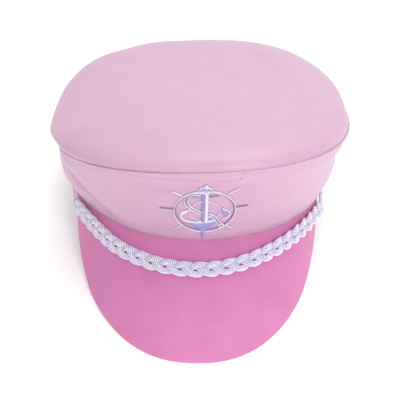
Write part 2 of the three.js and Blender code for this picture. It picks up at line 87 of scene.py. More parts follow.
VISOR_REACH = 0.0538
VISOR_TRIM = 0.0020
VISOR_DROP = 0.0531
VISOR_THICKNESS = 0.003
VISOR_ARCH = 0.0016
VISOR_TIP_ANGLE = math.radians(80)
VISOR_ROUNDNESS = 1.11
VISOR_SQUARENESS = 0.89
VISOR_PINCH = 0.053
VISOR_PINCH_FALL = 1 / 3
VISOR_RIGHT_PINCH = 0.034
VISOR_LEFT_PINCH = 0.018
VISOR_END_PINCH_FALL = 4
VISOR_FLAT_SPAN = 0.65
VISOR_TIP_LIFT = 1.26
VISOR_END = 0.955
VISOR_ROOT_DROP = 0.0001

BRAID_WIDTH = 0.010
BRAID_REPEAT = 0.029
BRAID_FRONT_OFFSET = 0.0204
BRAID_SIDE_OFFSET = 0.0064
BRAID_BEND_ANGLE = 38
BRAID_SAG = 0.0018
BRAID_SAG_ANGLE = -34
BRAID_SAG_SPREAD = 14
BRAID_TUCK = 0.0018
BRAID_TILT = 0.35
BRAID_TILT_LIFT = 0.0008
BRAID_VISOR_END = 0.84
BRAID_TAPER = 0.006

LOOP_CORD = 0.0024
BUTTON_DIAMETER = 0.010
BUTTON_DOME = 0.0022
BUTTON_SHANK_DIAMETER = 0.003
BUTTON_ANGLE = math.radians(97)
BUTTON_HEIGHT = 0.010

WHEEL_RADIUS = 0.0184
EMBLEM_TO_LEFT = 0.0042
EMBLEM_SHARE = 0.46

FIT_GAP = 0.0003
FULL_TURN = 2 * math.pi

# Where the middle of the head opening lies in the part's frame, with the hat at rest on its visor
HAT_PLACE = Vector((-0.00223, 0.01687, 0.02094))

# Soft folds of the side panel: angle, spread, height, tallness, slant and depth. Angles, spreads and
# slants are degrees round from the front, heights are shares of the panel's, depths of the fold depth.
SIDE_FOLDS = [
    (0, 400, 0.88, 0.12, 0, 0.5),
    (-98, 32, 0.5, 0.36, 0, 1.5),
    (-64, 15, 0.38, 0.26, 0, 1.3),
    (-48, 6, 0.5, 0.5, 26, -1.6),
    (-37, 6, 0.5, 0.5, 26, 1.1),
    (85, 30, 0.7, 0.2, 0, -0.4),
    (92, 34, 0.3, 0.3, 0, 1.7),
    (150, 16, 0.5, 0.5, 12, 0.5),
    (178, 14, 0.55, 0.5, -10, -0.5),
    (-150, 18, 0.5, 0.5, -14, 0.6),
]

# Where the seam wanders from its even ring: angle, spread and share of its own wander
SEAM_WANDERS = [
    (-88, 24, -1),
    (-66, 13, -1.8),
    (90, 20, 0.1),
]

# Where the puffed edge of the top bulges or is dented: angle, spread and share of its own depth
EDGE_BULGES = [
    (-65, 14, 4.0),
    (-92, 22, 1.6),
    (-118, 8, -0.1),
    (-134, 8, 0.2),
    (-148, 7, -0.9),
    (-162, 9, 0.6),
    (158, 10, 0.6),
    (130, 10, -0.4),
    (100, 16, 0.9),
    (-35, 12, 0.25),
    (20, 14, -0.25),
]


def mix(low, high, share):
    return low + (high - low) * share


def smooth_step(value, low, high):
    share = min(max((value - low) / (high - low), 0), 1)
    return share * share * (3 - 2 * share)


def bump(distance, spread):
    return math.exp(-((distance / spread) ** 2))


def degrees_apart(angle, other):
    return (angle - other + 180) % 360 - 180


def near(degrees, angle, spread):
    return bump(degrees_apart(degrees, angle), spread)


def shares_in(steps):
    return [step / steps for step in range(steps + 1)]


# The hat's own surfaces, in its own frame


def ring_reach(width, length, squareness, angle):
    across = (abs(math.sin(angle)) / (width / 2)) ** squareness
    along = (abs(math.cos(angle)) / (length / 2)) ** squareness
    return (across + along) ** (-1 / squareness)


def head_point(angle, inset=0.0):
    tuck = HEM_TUCK * near(math.degrees(angle), HEM_TUCK_ANGLE, HEM_TUCK_SPREAD)
    reach = ring_reach(HEAD_WIDTH, HEAD_LENGTH, 2, angle) - tuck - inset
    return Vector((reach * math.sin(angle), -reach * math.cos(angle), 0))


def wander(bulges, depth, angle):
    degrees = math.degrees(angle)
    return depth * sum(out * near(degrees, middle, spread) for middle, spread, out in bulges)


def seam_reach(angle):
    towards_back = (1 - math.cos(angle)) / 2
    squareness = mix(SEAM_FRONT_SQUARENESS, SEAM_BACK_SQUARENESS, towards_back)
    even = ring_reach(SEAM_WIDTH, SEAM_LENGTH, squareness, angle)
    return even + wander(SEAM_WANDERS, SEAM_WANDER, angle)


def seam_height(angle):
    towards_back = (1 - math.cos(angle)) / 2
    level = mix(SEAM_FRONT_HEIGHT, SEAM_BACK_HEIGHT, towards_back)
    return level - SEAM_SIDE_DIP * math.sin(angle) ** 2 + SEAM_LEFT_LIFT * math.sin(angle)


def seam_point(angle, inset=0.0):
    reach = seam_reach(angle) - inset
    x = SEAM_TO_LEFT + reach * math.sin(angle)
    y = -SEAM_FORWARD - reach * math.cos(angle)
    return Vector((x, y, seam_height(angle)))


def fold_depth(angle, share):
    degrees = math.degrees(angle)
    fixed_at_both_edges = 1 - (2 * share - 1) ** 6
    out = 0
    for middle, spread, height, tallness, slant, depth in SIDE_FOLDS:
        middle -= slant * (share - height)
        out += depth * near(degrees, middle, spread) * bump(share - height, tallness)
    return SIDE_FOLD_DEPTH * fixed_at_both_edges * out


def side_point(angle, share, inset=0.0):
    point = head_point(angle, inset).lerp(seam_point(angle, inset), share)
    out = fold_depth(angle, share)
    return point + Vector((out * math.sin(angle), -out * math.cos(angle), 0))


def facing(surface, u, v):
    step = 0.002
    along = surface(u + step, v) - surface(u - step, v)
    across = surface(u, v + step) - surface(u, v - step)
    return along.cross(across).normalized()


def side_facing(angle, share):
    return facing(side_point, angle, share)


def top_point(angle, inset, rise):
    left = 1 - inset / seam_reach(angle)
    point = seam_point(angle, inset)
    middle_height = (SEAM_FRONT_HEIGHT + SEAM_BACK_HEIGHT) / 2
    point.z = mix(middle_height, seam_height(angle), left**2) + rise + FIT_GAP
    return point


visor_slope = math.atan(VISOR_DROP / VISOR_REACH)
lowest_drop = VISOR_DROP + VISOR_THICKNESS * math.cos(visor_slope)
lowest_reach = VISOR_REACH - VISOR_THICKNESS * math.sin(visor_slope)
rest_tilt = math.atan(lowest_drop / (HEAD_LENGTH + lowest_reach))
at_rest = Matrix.Translation(HAT_PLACE) @ Matrix.Rotation(-rest_tilt, 4, "X")


def rested(point):
    """A point of the hat where the hat rests, and no lower than what it rests on."""
    placed = at_rest @ point
    placed.z = max(placed.z, 0)
    return placed


def table_height(y):
    return -(HEAD_LENGTH / 2 - y) * math.tan(rest_tilt)


def visor_edge(turn):
    sweep = turn * math.pi / 2
    tip = head_point(VISOR_TIP_ANGLE)
    forward = abs(math.cos(sweep))
    sideways = abs(math.sin(sweep))
    front = HEAD_LENGTH / 2 + VISOR_REACH - VISOR_TRIM + tip.y
    y = tip.y - front * forward**VISOR_ROUNDNESS
    lifted = min(max(1 - forward / VISOR_FLAT_SPAN, 0), 1) ** VISOR_TIP_LIFT
    board_height = VISOR_THICKNESS * math.cos(visor_slope - rest_tilt) / math.cos(rest_tilt)
    pinch = 1 - VISOR_PINCH * forward**VISOR_PINCH_FALL * sideways
    end_pinch = VISOR_RIGHT_PINCH if turn < 0 else VISOR_LEFT_PINCH
    pinch -= end_pinch * (1 - forward) ** VISOR_END_PINCH_FALL
    x = math.copysign(tip.x * sideways**VISOR_SQUARENESS * pinch, turn)
    return Vector((x, y, (table_height(y) + board_height) * (1 - lifted)))


def visor_top(turn, share):
    root = head_point(turn * VISOR_TIP_ANGLE, FIT_GAP)
    root.z = -VISOR_ROOT_DROP
    edge = visor_edge(turn)
    arch = VISOR_ARCH * (root - edge).length / math.hypot(VISOR_REACH, VISOR_DROP)
    point = root.lerp(edge, share)
    point.z += arch * 4 * share * (1 - share)
    return point


def visor_point(turn, share, lift=0.0):
    return visor_top(turn, share) - facing(visor_top, turn, share) * lift


# Making meshes

SHARP_CORNER = math.radians(70)
MERGE_DISTANCE = 1e-6


def angle_of(column, columns):
    """The angle of a column of a ring-shaped grid, whose ends meet at the back."""
    return math.pi + column / columns * FULL_TURN


def grid_piece(columns, rows, place, flat):
    """A mesh from a grid. Place gives each point where the hat rests, and flat its cloth map."""
    bm = bmesh.new()
    bmesh.ops.create_grid(bm, x_segments=columns, y_segments=rows, size=0.5)
    steps = {v: (round((v.co.x + 0.5) * columns), round((v.co.y + 0.5) * rows)) for v in bm.verts}
    layer = bm.loops.layers.uv.new("cloth")
    for face in bm.faces:
        face.smooth = True
        for loop in face.loops:
            loop[layer].uv = flat(*steps[loop.vert])
    for vert, step in steps.items():
        vert.co = place(*step)
    bmesh.ops.remove_doubles(bm, verts=bm.verts, dist=MERGE_DISTANCE)
    bmesh.ops.holes_fill(bm, edges=bm.edges, sides=0)
    bmesh.ops.recalc_face_normals(bm, faces=bm.faces)
    for edge in bm.edges:
        edge.smooth = edge.calc_face_angle(0) < SHARP_CORNER
    return bm


def add_mesh(name, bm, material):
    mesh = bpy.data.meshes.new(name)
    bm.to_mesh(mesh)
    bm.free()
    mesh.materials.append(material)
    made = bpy.data.objects.new(name, mesh)
    bpy.context.scene.collection.objects.link(made)
    return made


def add_piece(name, bm, material, node):
    piece = add_mesh(name, bm, material)
    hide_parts(node)
    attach(piece, "root")


def joined(parts):
    """Several bmeshes as one."""
    whole = bmesh.new()
    for part in parts:
        mesh = bpy.data.meshes.new("part")
        part.to_mesh(mesh)
        part.free()
        whole.from_mesh(mesh)
        bpy.data.meshes.remove(mesh)
    return whole


# Node groups and materials


class Wiring:
    """Nodes and links of one node tree."""

    def __init__(self, tree):
        self.tree = tree

    def node(self, kind, inputs=None, **settings):
        made = self.tree.nodes.new(kind)
        for key, value in settings.items():
            setattr(made, key, value)
        for key, value in (inputs or {}).items():
            if isinstance(value, bpy.types.NodeSocket):
                self.tree.links.new(value, made.inputs[key])
            else:
                made.inputs[key].default_value = value
        return made

    def math(self, operation, a, b=0.0):
        return self.node("ShaderNodeMath", {0: a, 1: b}, operation=operation).outputs[0]

    def blend(self, share, low, high):
        made = self.node("ShaderNodeMix", {0: share, 6: low, 7: high}, data_type="RGBA")
        return made.outputs[2]

    def group(self, tree, **inputs):
        return self.node("ShaderNodeGroup", inputs, node_tree=tree)


def new_group(name, inputs, outputs):
    tree = bpy.data.node_groups.new(name, "ShaderNodeTree")
    for label, (kind, value) in inputs.items():
        socket = tree.interface.new_socket(name=label, in_out="INPUT", socket_type=kind)
        if value is not None:
            socket.default_value = value
    for label, kind in outputs.items():
        tree.interface.new_socket(name=label, in_out="OUTPUT", socket_type=kind)
    wiring = Wiring(tree)
    return wiring, wiring.node("NodeGroupInput").outputs, wiring.node("NodeGroupOutput").inputs


FLOAT = "NodeSocketFloat"
VECTOR = "NodeSocketVector"


def woven_group():
    """Threads over and under each other. Height is 0 to 1; Shade is a soft mottle for the colour."""
    inputs = {
        "Vector": (VECTOR, None),
        "Thread": (FLOAT, 0.001),
        "Slant": (FLOAT, 1.0),
        "Check": (FLOAT, 0.5),
        "Wobble": (FLOAT, 0.3),
    }
    w, given, gives = new_group("woven threads", inputs, {"Height": FLOAT, "Shade": FLOAT})
    split = w.node("ShaderNodeSeparateXYZ", {0: given["Vector"]}).outputs
    wobble = w.node("ShaderNodeTexNoise", {"Vector": given["Vector"], "Scale": 160.0, "Detail": 2.0})
    shift = w.math("MULTIPLY", w.math("SUBTRACT", wobble.outputs[0], 0.5), given["Wobble"])
    across = w.math("ADD", w.math("DIVIDE", split[0], given["Thread"]), shift)
    along = w.math("ADD", w.math("DIVIDE", split[1], given["Thread"]), shift)
    slanted = w.math("MULTIPLY", along, given["Slant"])
    twill = w.math("SINE", w.math("MULTIPLY", w.math("ADD", across, slanted), FULL_TURN / 2))
    crossing = w.math("SINE", w.math("MULTIPLY", w.math("SUBTRACT", along, across), FULL_TURN / 2))
    checks = w.math("MULTIPLY", crossing, given["Check"])
    height = w.math("MULTIPLY", w.math("ADD", twill, checks), 0.25)
    w.tree.links.new(w.math("ADD", height, 0.5), gives["Height"])
    mottle = w.node("ShaderNodeTexNoise", {"Vector": given["Vector"], "Scale": 45.0, "Detail": 4.0})
    w.tree.links.new(mottle.outputs[0], gives["Shade"])
    return w.tree


def satin_group():
    """Stitches or twisted fibres side by side, across the way that the map's first number runs."""
    inputs = {"Vector": (VECTOR, None), "Thread": (FLOAT, 0.0005), "Slant": (FLOAT, 0.0)}
    w, given, gives = new_group("satin stitches", inputs, {"Height": FLOAT, "Shade": FLOAT})
    split = w.node("ShaderNodeSeparateXYZ", {0: given["Vector"]}).outputs
    noise_node = w.node("ShaderNodeTexNoise", {"Vector": given["Vector"], "Scale": 500.0})
    slanted = w.math("MULTIPLY", split[1], given["Slant"])
    place = w.math("DIVIDE", w.math("ADD", split[0], slanted), given["Thread"])
    place = w.math("ADD", place, w.math("MULTIPLY", noise_node.outputs[0], 0.6))
    wave = w.math("SINE", w.math("MULTIPLY", place, FULL_TURN))
    w.tree.links.new(w.math("MULTIPLY", w.math("ADD", wave, 1.0), 0.5), gives["Height"])
    w.tree.links.new(noise_node.outputs[0], gives["Shade"])
    return w.tree


def srgb(red, green, blue):
    """A colour as a paint chart gives it, 0 to 255, in the linear numbers that a shader takes."""
    def linear(value):
        value /= 255
        return value / 12.92 if value <= 0.04045 else ((value + 0.055) / 1.055) ** 2.4

    return (linear(red), linear(green), linear(blue), 1.0)


woven_threads = woven_group()
satin_stitches = satin_group()


def new_material(name, **constants):
    material = bpy.data.materials.new(name)
    material.use_nodes = True
    wiring = Wiring(material.node_tree)
    shader = material.node_tree.nodes["Principled BSDF"]
    for key, value in constants.items():
        shader.inputs[key.replace("_", " ")].default_value = value
    return material, wiring, shader


def cloth_map(wiring):
    return wiring.node("ShaderNodeUVMap", uv_map="cloth").outputs[0]


def dress(w, shader, colour, height, relief, strength):
    w.tree.links.new(colour, shader.inputs["Base Color"])
    bumps = w.node("ShaderNodeBump", {"Height": height, "Distance": relief, "Strength": strength})
    w.tree.links.new(bumps.outputs[0], shader.inputs["Normal"])


def woven_cloth(name, light, dark, thread, check, relief, grain, **constants):
    """A woven cloth with twill lines, a soft mottle and a bump of its threads."""
    material, w, shader = new_material(name, **constants)
    weave = w.group(woven_threads, Vector=cloth_map(w), Thread=thread, Check=check, Wobble=0.4)
    shade = w.node("ShaderNodeMapRange", {0: weave.outputs["Shade"], 1: 0.3, 2: 0.7}).outputs[0]
    lines = w.math("MULTIPLY", weave.outputs["Height"], grain)
    share = w.math("ADD", w.math("MULTIPLY", shade, 1 - grain), lines)
    dress(w, shader, w.blend(share, dark, light), weave.outputs["Height"], relief, 0.6)
    return material


def thread_material(name, light, dark, thread, slant, relief, **constants):
    """Satin thread or rayon cord, with its fibres as fine lines."""
    material, w, shader = new_material(name, **constants)
    lines = w.group(satin_stitches, Vector=cloth_map(w), Thread=thread, Slant=slant)
    share = w.math("MULTIPLY", lines.outputs["Height"], w.math("ADD", lines.outputs["Shade"], 0.45))
    dress(w, shader, w.blend(share, dark, light), lines.outputs["Height"], relief, 0.7)
    return material


def satin_thread(name, light, dark, roughness=0.35):
    return thread_material(
        name, light, dark, thread=0.0007, slant=0.0, relief=0.00008,
        Roughness=roughness, Specular_IOR_Level=0.5,
    )


def button_material():
    material, w, shader = new_material("dark button metal", Metallic=0.85, Specular_IOR_Level=0.5)
    place = w.node("ShaderNodeTexCoord").outputs["Object"]
    wear = w.node("ShaderNodeTexNoise", {"Vector": place, "Scale": 900.0, "Detail": 5.0}).outputs[0]
    shade = w.blend(wear, srgb(70, 68, 74), srgb(110, 107, 114))
    w.tree.links.new(shade, shader.inputs["Base Color"])
    rough = w.node("ShaderNodeMapRange", {0: wear, 3: 0.25, 4: 0.5}).outputs[0]
    w.tree.links.new(rough, shader.inputs["Roughness"])
    return material


crown_cloth = woven_cloth(
    "pale pink twill", srgb(219, 183, 207), srgb(193, 149, 178),
    thread=0.00078, check=1.0, relief=0.0001, grain=0.86,
    Roughness=0.42, Sheen_Weight=0.15, Sheen_Roughness=0.35, Sheen_Tint=(0.96, 0.95, 1.0, 1.0),
    Specular_IOR_Level=0.5,
)
visor_cloth = woven_cloth(
    "bright pink twill", srgb(237, 152, 203), srgb(191, 102, 155),
    thread=0.00064, check=0.35, relief=0.00014, grain=0.85,
    Roughness=0.55, Sheen_Weight=0.25, Sheen_Roughness=0.4, Specular_IOR_Level=0.35,
)
braid_thread = thread_material(
    "white rayon cord", srgb(254, 252, 255), srgb(238, 232, 250),
    thread=0.0006, slant=0.8, relief=0.00006,
    Roughness=0.4, Sheen_Weight=0.2, Specular_IOR_Level=0.5,
)
# The cords' core, in a darker lilac that paints the shade seen between their white threads
painted_shade_core = thread_material(
    "lilac cord core as painted shade", srgb(178, 173, 218), srgb(146, 140, 190),
    thread=0.0006, slant=0.8, relief=0.0001,
    Roughness=0.6, Specular_IOR_Level=0.3,
)
white_thread = satin_thread("white satin thread", srgb(242, 238, 250), srgb(222, 216, 238))
# Lilac thread for the anchor's lilac fills, also laid as painted shade on the shaft's shaded side
lilac_and_shade_thread = satin_thread("lilac satin thread", srgb(168, 168, 218), srgb(142, 140, 198))
# A darker grey lilac thread, laid beside the emblem's white lines as painted shade
painted_shade_thread = satin_thread("grey lilac satin thread as painted shade", srgb(168, 150, 186), srgb(146, 130, 166), 0.4)
button_metal = button_material()

# The side panel: one ring of cloth with a rounded hem

SIDE_ROUND_STEPS = 720
SIDE_OUTER_STEPS = 56
SIDE_HEM_STEPS = 12
SIDE_INNER_STEPS = 14
SIDE_STEP_BIAS = 1.15

# Uneven cloth: depths in metres, and waves as noise takes them
BROAD_SWELL = 0.00022
BROAD_WAVES = 18
FINE_SWELL = 0.00005
FINE_WAVES = 110
PUCKER_DEPTH = 0.0003
PUCKER_WAVES = 210
PUCKER_REACH = 0.0035

# The groove of the seam, and the join where the panel's two ends meet
GROOVE_SHALLOW = 0.00004
GROOVE_DEEP = 0.0006
GROOVE_ANGLE = -75
GROOVE_SPREAD = 60
GROOVE_WIDTH = 0.0004
JOIN_ANGLE = 11.5
JOIN_SPREAD = 0.35
JOIN_DEPTH = 0.001
JOIN_REACH = 0.0085
HEM_ROLL = 0.0004
HEM_ROLL_WIDTH = 0.0022

# How far below the seam the cloth's turned-in edge shows through as a soft step, by angle
ALLOWANCE_RELIEF = 0.0011
ALLOWANCE_SOFTNESS = 0.0011
ALLOWANCE_SHOWN = 0.002
ALLOWANCE = [
    (-180, 0.0034),
    (-60, 0.0),
    (-36, 0.0008),
    (JOIN_ANGLE - 0.4, 0.0068),
    (JOIN_ANGLE + 0.4, 0.0019),
    (54, 0.0036),
    (180, 0.0034),
]


def depth_at(angle, rows):
    """A table's depth at an angle, in a straight line between its rows."""
    for (start, depth), (end, next_depth) in zip(rows, rows[1:]):
        if angle <= end:
            return mix(depth, next_depth, (angle - start) / (end - start))
    return rows[-1][1]


def swell(point):
    """The slight unevenness of cloth that nothing holds flat."""
    broad = BROAD_SWELL * noise.noise(point * BROAD_WAVES)
    return broad + FINE_SWELL * noise.noise(point * FINE_WAVES)


def groove(degrees):
    """How deep the seam lies, which is deepest on the wearer's right and nearly flat on the left."""
    return mix(GROOVE_SHALLOW, GROOVE_DEEP, near(degrees, GROOVE_ANGLE, GROOVE_SPREAD))


def pucker(point, from_seam):
    """Small waves beside a seam, where its stitches draw the cloth in."""
    return PUCKER_DEPTH * noise.noise(point * PUCKER_WAVES) * bump(from_seam, PUCKER_REACH)


def side_relief(angle, share):
    """The fine relief of the outer face: the turned-in edge, the join, the puckers and the hem."""
    degrees = degrees_apart(math.degrees(angle), 0)
    point = side_point(angle, share)
    from_seam = (seam_point(angle) - head_point(angle)).length * (1 - share)
    edge = depth_at(degrees, ALLOWANCE)
    above_edge = smooth_step(edge - from_seam, -ALLOWANCE_SOFTNESS, ALLOWANCE_SOFTNESS)
    step = ALLOWANCE_RELIEF * smooth_step(edge, 0, ALLOWANCE_SHOWN) * above_edge
    join = -JOIN_DEPTH * bump(degrees - JOIN_ANGLE, JOIN_SPREAD)
    join *= smooth_step(JOIN_REACH - from_seam, 0, ALLOWANCE_SHOWN)
    turned_in = -groove(degrees) * bump(from_seam, GROOVE_WIDTH)
    hem = HEM_ROLL * bump(from_seam - SEAM_FRONT_HEIGHT, HEM_ROLL_WIDTH)
    return step + join + turned_in + hem + pucker(point, from_seam) + swell(point)


def side_profile():
    """Shares of the panel's height and of its thickness, down the outside and up the inside."""
    hem = SIDE_WALL / 2 / SEAM_FRONT_HEIGHT
    down = [(1 - (1 - hem) * share**SIDE_STEP_BIAS, 0.0) for share in shares_in(SIDE_OUTER_STEPS)]
    turned = []
    for share in shares_in(SIDE_HEM_STEPS)[1:-1]:
        across = math.cos(share * math.pi)
        depth = (1 - math.copysign(math.sqrt(abs(across)), across)) / 2
        turned.append((hem * (1 - math.sqrt(math.sin(share * math.pi))), depth))
    up = [(mix(hem, 1, share), 1.0) for share in shares_in(SIDE_INNER_STEPS)]
    return down + turned + up + [down[0]]


def crown_side():
    profile = side_profile()
    length = FULL_TURN * (HEAD_WIDTH + HEAD_LENGTH) / 4

    def place(column, row):
        share, depth = profile[row]
        angle = angle_of(column, SIDE_ROUND_STEPS)
        out = side_relief(angle, share) * (1 - depth)
        outwards = Vector((math.sin(angle), -math.cos(angle), 0))
        return rested(side_point(angle, share, SIDE_WALL * depth) + outwards * out)

    def flat(column, row):
        share, depth = profile[row]
        slant_height = SEAM_FRONT_HEIGHT * share
        return (column / SIDE_ROUND_STEPS * length, slant_height + depth * SEAM_FRONT_HEIGHT * 3)

    bm = grid_piece(SIDE_ROUND_STEPS, len(profile) - 1, place, flat)
    add_piece("crown_side_cloth", bm, crown_cloth, "crown_side")


# The top panel: a puffed edge round a slightly sunken middle

TOP_ROUND_STEPS = 540
PUFF_STEPS = 40
MIDDLE_STEPS = 40
TOP_INNER_STEPS = 8
PUFF_STEP_BIAS = 1.4

# How far the top's lower edge reaches down into the gap over the side panel
RIM_DROP = 1.05 * FIT_GAP
RIM_DROP_REACH = 0.0009
TOP_SWELL_FROM = 0.003

# How far the top's sewn edge stands proud of the side panel over the emblem, and where
SEAM_LIP = 0.0003
SEAM_LIP_ANGLE = 14
SEAM_LIP_SPREAD = 24
SEAM_LIP_HEIGHT = 0.001


def top_profile(wall, puff_steps, middle_steps):
    """Inset from the seam or share of the middle left, rise over the seam and share of the bulge."""
    rows = []
    for share in shares_in(puff_steps):
        turn = share**PUFF_STEP_BIAS * math.pi / 2
        inwards = 1 - math.cos(turn) ** (2 / PUFF_ROUNDNESS)
        upwards = math.sin(turn) ** (2 / PUFF_ROUNDNESS)
        inset = wall + (PUFF_WIDTH - wall) * inwards
        rows.append((inset, None, (PUFF_RISE - wall) * upwards, math.sin(2 * turn)))
    for step in range(1, middle_steps + 1):
        left = 1 - step / middle_steps
        rows.append((None, left, PUFF_RISE - wall - TOP_SAG * (1 - left**2), 0.0))
    return rows


def crown_top():
    outer = top_profile(0, PUFF_STEPS, MIDDLE_STEPS)[::-1]
    profile = outer + top_profile(TOP_WALL, TOP_INNER_STEPS, TOP_INNER_STEPS)
    outside = len(outer)
    puff = outer[MIDDLE_STEPS:]

    def place(column, row):
        inset, left, rise, bulge = profile[row]
        angle = angle_of(column, TOP_ROUND_STEPS)
        if inset is None:
            inset = seam_reach(angle) - left * (seam_reach(angle) - PUFF_WIDTH)
        inset -= wander(EDGE_BULGES, EDGE_BULGE_DEPTH * bulge, angle)
        if row < outside:
            point = top_point(angle, inset, rise)
            degrees = math.degrees(angle)
            inset += groove(degrees) * bump(rise, GROOVE_WIDTH) - pucker(point, rise)
            proud = SEAM_LIP * near(degrees, SEAM_LIP_ANGLE, SEAM_LIP_SPREAD)
            inset -= proud * bump(rise, SEAM_LIP_HEIGHT)
            drop = RIM_DROP * bump(rise, RIM_DROP_REACH)
            rise += swell(point) * smooth_step(rise, 0, TOP_SWELL_FROM) - drop
        return rested(top_point(angle, inset, rise))

    lengths = [0.0]
    for (inset, _, rise, _), (nearer, _, lower, _) in zip(puff, puff[1:]):
        lengths.append(lengths[-1] + math.hypot(nearer - inset, lower - rise))

    def flat(column, row):
        inset, left, _, _ = profile[row]
        angle = angle_of(column, TOP_ROUND_STEPS)
        reach = seam_reach(angle) - PUFF_WIDTH
        if inset is None:
            reach *= left
        elif row < outside:
            reach += lengths[row - outside]
        return (reach * math.sin(angle), -reach * math.cos(angle))

    bm = grid_piece(TOP_ROUND_STEPS, len(profile) - 1, place, flat)
    add_piece("crown_top_cloth", bm, crown_cloth, "crown_top")


# The visor: cloth drawn over a board with a rounded edge

VISOR_STEPS = 180
VISOR_TOP_STEPS = 34
VISOR_EDGE_STEPS = 8
VISOR_UNDER_STEPS = 20
VISOR_EDGE_ROUNDING = 0.02


def visor_profile():
    """Shares from the head opening to the edge and lifts from the upper face, all the way round."""
    top = [(share, 0.0) for share in shares_in(VISOR_TOP_STEPS)]
    edge = []
    for share in shares_in(VISOR_EDGE_STEPS)[1:-1]:
        turn = share * math.pi
        edge.append((1 + VISOR_EDGE_ROUNDING * math.sin(turn), (math.cos(turn) - 1) / 2))
    under = [(1 - share, -1.0) for share in shares_in(VISOR_UNDER_STEPS)]
    return top + edge + under + [top[0]]


def visor():
    profile = visor_profile()
    turns = [mix(-VISOR_END, VISOR_END, share) for share in shares_in(VISOR_STEPS)]

    def place(column, row):
        share, lift = profile[row]
        return rested(visor_point(turns[column], share, VISOR_THICKNESS * lift))

    def flat(column, row):
        share, lift = profile[row]
        point = visor_top(turns[column], share)
        down_slope = point.y * math.cos(visor_slope) + point.z * math.sin(visor_slope)
        return (point.x, down_slope - VISOR_THICKNESS * lift)

    bm = grid_piece(VISOR_STEPS, len(profile) - 1, place, flat)
    add_piece("visor_board", bm, visor_cloth, "visor")


# The braid: three twisted cords plaited over the visor, with thin cords to the side buttons

STRAND_WIDTH = 0.0041
STRAND_THICKNESS = 0.0025
STRAND_SWING = 0.00318
STRAND_FLATNESS = 0.1
STRAND_LEAN = 0.00035
STRAND_WEAVE = 0.0011
STRAND_SLACK = 1.1
FIRST_END_SWING = 0.8
FIRST_END_REACH = 0.045
LAST_END_SWING = 0.92
LAST_END_WEAVE = 0.6
LAST_END_REACH = 0.05
CARRIERS = 4
CARRIER_PITCH = 0.0050
CARRIER_STEPS = 22
CORE_SIDES = 10
THREAD_SIDES = 6
CARRIER_RADIUS = 0.00041
CARRIER_RISE = 0.00036
FIRST_CORD_LENGTH = 0.0525
LAST_CORD_LENGTH = 0.0445
THIN_CORD = 0.0020
THIN_PLIES = 3
THIN_PLY_SHARE = 0.27
THIN_PITCH = 0.0048
THIN_STEPS = 110
LOOP_STEPS = 48
LOOP_TWISTS = 2
WHIPPING_WIDTH = 0.0052
WHIPPING_THICKNESS = 0.0040
WHIPPING_PITCH = 0.0009
WHIPPING_LENGTH = 0.003
WHIPPING_STEPS = 72
BRAID_PLACES = 10
BRAID_END_PLACES = 7
ROUTE_STEPS = 24

# Degrees from the front where the plait is tucked in, on the wearer's right, and tilted, on the left
TUCK_FROM = 50
TILT_FROM = 46
TUCK_AND_TILT_TO = 66

# Share of the way from the visor to the button in which the plait's room narrows to the thin cord's
NARROW_AFTER = 0.14

button_share = BUTTON_HEIGHT / seam_height(BUTTON_ANGLE)
loop_lift = FIT_GAP + THIN_CORD / 2
braid_lift = FIT_GAP + STRAND_WEAVE + STRAND_THICKNESS / 2
loop_radius = (BUTTON_SHANK_DIAMETER + THIN_CORD) / 2 + FIT_GAP


def bulge_beside(angle, share, width):
    half = width / 2 / seam_height(angle)
    up = side_facing(angle, share)
    here = side_point(angle, share)
    beside = [max(share - half, 0), share + half]
    return max(0, *[(side_point(angle, other) - here).dot(up) for other in beside])


def braid_places(side):
    """Where the braid's middle line goes on one side, from the front to the button, and the way up."""
    places = []
    for share in shares_in(BRAID_PLACES):
        turn = side * BRAID_VISOR_END * share
        degrees = math.degrees(turn * VISOR_TIP_ANGLE)
        offset = mix(BRAID_SIDE_OFFSET, BRAID_FRONT_OFFSET, bump(degrees, BRAID_BEND_ANGLE))
        offset += BRAID_SAG * bump(degrees - BRAID_SAG_ANGLE, BRAID_SAG_SPREAD)
        offset -= BRAID_TUCK * smooth_step(-degrees, TUCK_FROM, TUCK_AND_TILT_TO)
        down = offset / (head_point(turn * VISOR_TIP_ANGLE) - visor_edge(turn)).length
        tilted = smooth_step(degrees, TILT_FROM, TUCK_AND_TILT_TO)
        up = -facing(visor_top, turn, down) + Vector((0, 0, BRAID_TILT * tilted))
        middle = visor_point(turn, down, braid_lift + BRAID_TILT_LIFT * tilted)
        places.append((middle, up.normalized()))
    leaves = side * BRAID_VISOR_END * VISOR_TIP_ANGLE
    for share in shares_in(BRAID_END_PLACES)[1:]:
        angle = mix(leaves, side * BUTTON_ANGLE, share)
        height = button_share * share
        up = side_facing(angle, height)
        narrowed = smooth_step(share, 0, NARROW_AFTER)
        width = mix(BRAID_WIDTH, THIN_CORD, narrowed)
        lift = mix(braid_lift, loop_lift, narrowed) + bulge_beside(angle, height, width)
        places.append((side_point(angle, height) + up * lift, up))
    return places


